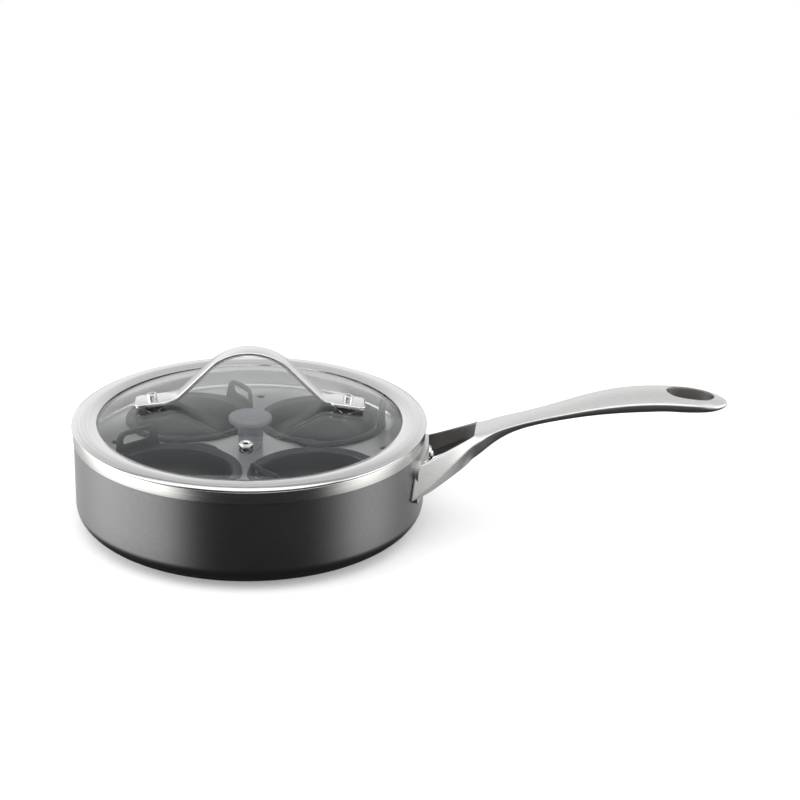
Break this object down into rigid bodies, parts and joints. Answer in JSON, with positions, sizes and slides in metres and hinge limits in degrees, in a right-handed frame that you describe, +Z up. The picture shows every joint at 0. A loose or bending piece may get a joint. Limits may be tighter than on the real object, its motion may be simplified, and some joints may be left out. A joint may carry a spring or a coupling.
{
  "type": "egg poacher pan",
  "caption": "Shallow lidded pan with a forked cast handle, a lift-out tray and loose egg cups, covered by a steel-rimmed glass lid with a bail handle.",
  "frame": {"origin": "centre of the flat underside of the pan, on the pan axis", "axes": "+X along the handle, away from the pan; +Z up along the pan axis, towards the lid"},
  "size_m": [0.372, 0.204, 0.1033],
  "materials": {
    "anodised_aluminium": "matt hard-anodised, with a bright turned band under the rim",
    "cast_steel": "satin cast stainless steel",
    "rivet_steel": "polished",
    "tray_steel": "satin pressed sheet",
    "moulded_phenolic": "matt moulded",
    "insert_brass": "turned",
    "fastener_steel": "bright plated",
    "coated_cup": "matt non-stick coating",
    "toughened_glass": "clear toughened",
    "rim_steel": "satin rolled sheet",
    "bail_steel": "satin strap",
    "silicone": "matt moulded"
  },
  "bodies": {
    "pan": {"pan_shell": "anodised_aluminium", "handle": "cast_steel", "handle_rivets": "rivet_steel"},
    "tray": {"tray_plate": "tray_steel", "tray_knob": "moulded_phenolic", "knob_insert": "insert_brass", "knob_washer": "fastener_steel", "knob_screw": "fastener_steel"},
    "cup_back_left": {"egg_cup_back_left": "coated_cup"},
    "cup_back_right": {"egg_cup_back_right": "coated_cup"},
    "cup_front_left": {"egg_cup_front_left": "coated_cup"},
    "cup_front_right": {"egg_cup_front_right": "coated_cup"},
    "lid": {"lid_glass": "toughened_glass", "lid_rim": "rim_steel", "lid_bail": "bail_steel", "bail_screws": "fastener_steel", "bail_nuts": "fastener_steel", "bail_washers": "fastener_steel", "bail_gaskets_upper": "silicone", "bail_gaskets_lower": "silicone", "vent_eyelet": "fastener_steel", "vent_gaskets": "silicone"}
  },
  "joints": [
    {"name": "tray_lift", "type": "slide", "parent": "pan", "child": "tray", "axis": [0, 0, 1], "range_m": [0, 0.07]},
    {"name": "cup_back_left_lift", "type": "slide", "parent": "tray", "child": "cup_back_left", "axis": [0, 0, 1], "range_m": [0, 0.045]},
    {"name": "cup_back_right_lift", "type": "slide", "parent": "tray", "child": "cup_back_right", "axis": [0, 0, 1], "range_m": [0, 0.045]},
    {"name": "cup_front_left_lift", "type": "slide", "parent": "tray", "child": "cup_front_left", "axis": [0, 0, 1], "range_m": [0, 0.045]},
    {"name": "cup_front_right_lift", "type": "slide", "parent": "tray", "child": "cup_front_right", "axis": [0, 0, 1], "range_m": [0, 0.045]},
    {"name": "lid_lift", "type": "slide", "parent": "cup_back_left", "child": "lid", "axis": [0, 0, 1], "range_m": [0, 0.1]}
  ],
  "couplings": [
    {"joint": "cup_back_right_lift", "follows": "cup_back_left_lift", "ratio": 1},
    {"joint": "cup_front_left_lift", "follows": "cup_back_left_lift", "ratio": 1},
    {"joint": "cup_front_right_lift", "follows": "cup_back_left_lift", "ratio": 1}
  ]
}
